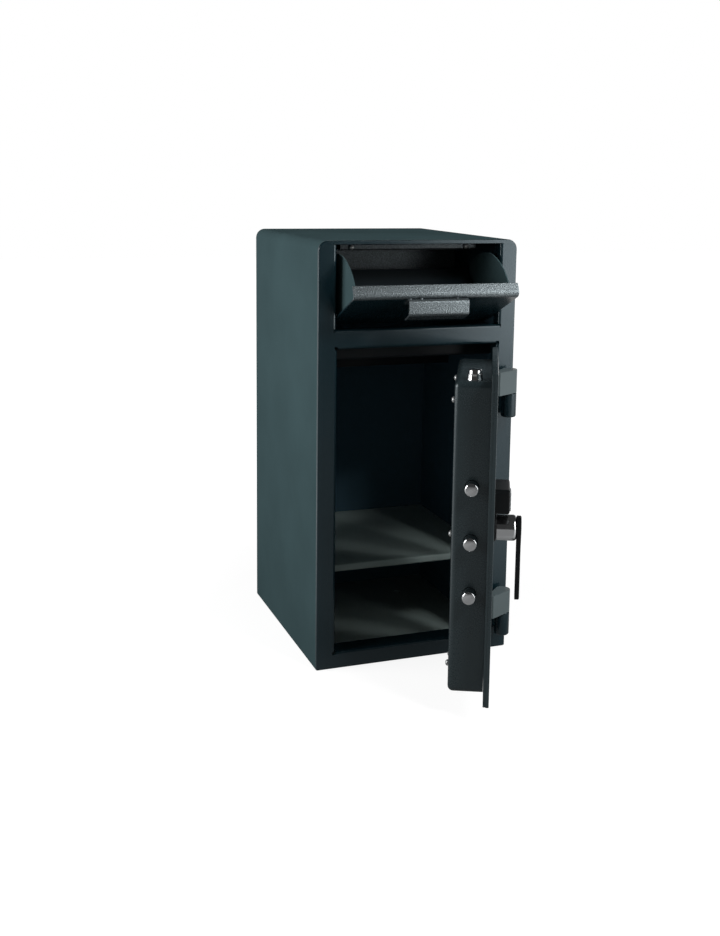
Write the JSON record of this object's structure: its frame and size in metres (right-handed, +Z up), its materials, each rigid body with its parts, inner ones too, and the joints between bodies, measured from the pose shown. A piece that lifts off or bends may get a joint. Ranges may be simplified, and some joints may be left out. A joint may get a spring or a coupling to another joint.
{
  "type": "drop safe with deposit drawer",
  "caption": "Upright steel drop safe: a tilting deposit drawer above a bolted door with keypad and lever, open onto a shelf.",
  "frame": {"origin": "centre of the underside of the base", "axes": "+Z up, front facing -Y, +X to the right as seen from the front"},
  "size_m": [0.34, 0.6515, 0.698],
  "materials": {
    "body_powder_coat": "dark slate grey-green powder coat, fine texture",
    "door_powder_coat": "dark slate powder coat, semi-gloss",
    "hammered_paint": "hammered grey paint",
    "chrome": "polished chrome",
    "zinc_plate": "zinc-plated steel",
    "black_plastic": "black moulded plastic",
    "key_rubber": "grey silicone rubber"
  },
  "bodies": {
    "cabinet": {"body_wrap": "body_powder_coat", "back_panel": "body_powder_coat", "base_panel": "body_powder_coat", "front_frame": "body_powder_coat", "divider_panel": "body_powder_coat", "shelf": "body_powder_coat", "shelf_rail_left": "body_powder_coat", "shelf_rail_right": "body_powder_coat", "drawer_baffle": "hammered_paint", "baffle_hanger": "body_powder_coat", "baffle_screw_left": "zinc_plate", "baffle_screw_right": "zinc_plate", "drawer_bracket_left": "body_powder_coat", "drawer_bracket_right": "body_powder_coat", "drawer_pin_left": "zinc_plate", "drawer_pin_right": "zinc_plate", "hinge_barrel_lower": "body_powder_coat", "hinge_barrel_upper": "body_powder_coat"},
    "door": {"door_plate": "door_powder_coat", "boltwork_pan": "door_powder_coat", "hinge_knuckle_lower": "hammered_paint", "hinge_knuckle_upper": "hammered_paint", "top_bolt_collar": "chrome", "lock_casing": "zinc_plate", "keypad_housing": "black_plastic", "battery_cover": "black_plastic", "handle_rose": "black_plastic", "pan_screw_1": "zinc_plate", "pan_screw_2": "zinc_plate", "pan_screw_3": "zinc_plate", "pan_screw_4": "zinc_plate", "pan_screw_5": "zinc_plate", "pan_screw_6": "zinc_plate"},
    "bolt_carriage": {"carrier_bar": "zinc_plate", "side_bolt_1": "chrome", "side_bolt_2": "chrome", "side_bolt_3": "chrome"},
    "bolt_lift": {"lift_link": "zinc_plate", "top_bolt": "chrome"},
    "handle": {"handle_hub": "chrome", "handle_lever": "black_plastic", "cam_plate": "zinc_plate"},
    "lock_plunger_body": {"lock_plunger": "chrome"},
    "deposit_drawer": {"drawer_front": "hammered_paint", "drawer_cheek_left": "body_powder_coat", "drawer_cheek_right": "body_powder_coat", "drawer_tray": "body_powder_coat", "drawer_pull": "hammered_paint"},
    "key_1_body": {"key_1": "key_rubber"},
    "key_2_body": {"key_2": "key_rubber"},
    "key_3_body": {"key_3": "key_rubber"},
    "key_4_body": {"key_4": "key_rubber"},
    "key_5_body": {"key_5": "key_rubber"},
    "key_6_body": {"key_6": "key_rubber"},
    "key_7_body": {"key_7": "key_rubber"},
    "key_8_body": {"key_8": "key_rubber"},
    "key_9_body": {"key_9": "key_rubber"},
    "key_10_body": {"key_10": "key_rubber"},
    "key_11_body": {"key_11": "key_rubber"},
    "key_12_body": {"key_12": "key_rubber"}
  },
  "joints": [
    {"name": "door_hinge", "type": "hinge", "parent": "cabinet", "child": "door", "pos_m": [0.153, -0.21, 0.25], "axis": [0, 0, 1], "range_deg": [-64.2, 45.8]},
    {"name": "drawer_tilt", "type": "hinge", "parent": "cabinet", "child": "deposit_drawer", "pos_m": [0, -0.162, 0.576], "axis": [1, 0, 0], "range_deg": [-65.7, 0]},
    {"name": "handle_turn", "type": "hinge", "parent": "door", "child": "handle", "pos_m": [0.05782, -0.38391, 0.2785], "axis": [0.9003, -0.4352, 0], "range_deg": [0, 60]},
    {"name": "side_bolts_slide", "type": "slide", "parent": "door", "child": "bolt_carriage", "axis": [-0.4352, -0.9003, 0], "range_m": [0, 0.018]},
    {"name": "top_bolt_slide", "type": "slide", "parent": "door", "child": "bolt_lift", "axis": [0, 0, 1], "range_m": [0, 0.018]},
    {"name": "lock_plunger_slide", "type": "slide", "parent": "door", "child": "lock_plunger_body", "axis": [0, 0, 1], "range_m": [0, 0.008], "stiffness_N_per_m": 60},
    {"name": "key_1_press", "type": "slide", "parent": "door", "child": "key_1_body", "axis": [-0.9003, 0.4352, 0], "range_m": [0, 0.001], "stiffness_N_per_m": 400},
    {"name": "key_2_press", "type": "slide", "parent": "door", "child": "key_2_body", "axis": [-0.9003, 0.4352, 0], "range_m": [0, 0.001], "stiffness_N_per_m": 400},
    {"name": "key_3_press", "type": "slide", "parent": "door", "child": "key_3_body", "axis": [-0.9003, 0.4352, 0], "range_m": [0, 0.001], "stiffness_N_per_m": 400},
    {"name": "key_4_press", "type": "slide", "parent": "door", "child": "key_4_body", "axis": [-0.9003, 0.4352, 0], "range_m": [0, 0.001], "stiffness_N_per_m": 400},
    {"name": "key_5_press", "type": "slide", "parent": "door", "child": "key_5_body", "axis": [-0.9003, 0.4352, 0], "range_m": [0, 0.001], "stiffness_N_per_m": 400},
    {"name": "key_6_press", "type": "slide", "parent": "door", "child": "key_6_body", "axis": [-0.9003, 0.4352, 0], "range_m": [0, 0.001], "stiffness_N_per_m": 400},
    {"name": "key_7_press", "type": "slide", "parent": "door", "child": "key_7_body", "axis": [-0.9003, 0.4352, 0], "range_m": [0, 0.001], "stiffness_N_per_m": 400},
    {"name": "key_8_press", "type": "slide", "parent": "door", "child": "key_8_body", "axis": [-0.9003, 0.4352, 0], "range_m": [0, 0.001], "stiffness_N_per_m": 400},
    {"name": "key_9_press", "type": "slide", "parent": "door", "child": "key_9_body", "axis": [-0.9003, 0.4352, 0], "range_m": [0, 0.001], "stiffness_N_per_m": 400},
    {"name": "key_10_press", "type": "slide", "parent": "door", "child": "key_10_body", "axis": [-0.9003, 0.4352, 0], "range_m": [0, 0.001], "stiffness_N_per_m": 400},
    {"name": "key_11_press", "type": "slide", "parent": "door", "child": "key_11_body", "axis": [-0.9003, 0.4352, 0], "range_m": [0, 0.001], "stiffness_N_per_m": 400},
    {"name": "key_12_press", "type": "slide", "parent": "door", "child": "key_12_body", "axis": [-0.9003, 0.4352, 0], "range_m": [0, 0.001], "stiffness_N_per_m": 400}
  ],
  "couplings": [
    {"joint": "handle_turn", "follows": "side_bolts_slide", "rad_per_m": 58.178},
    {"joint": "top_bolt_slide", "follows": "side_bolts_slide", "ratio": 1}
  ]
}
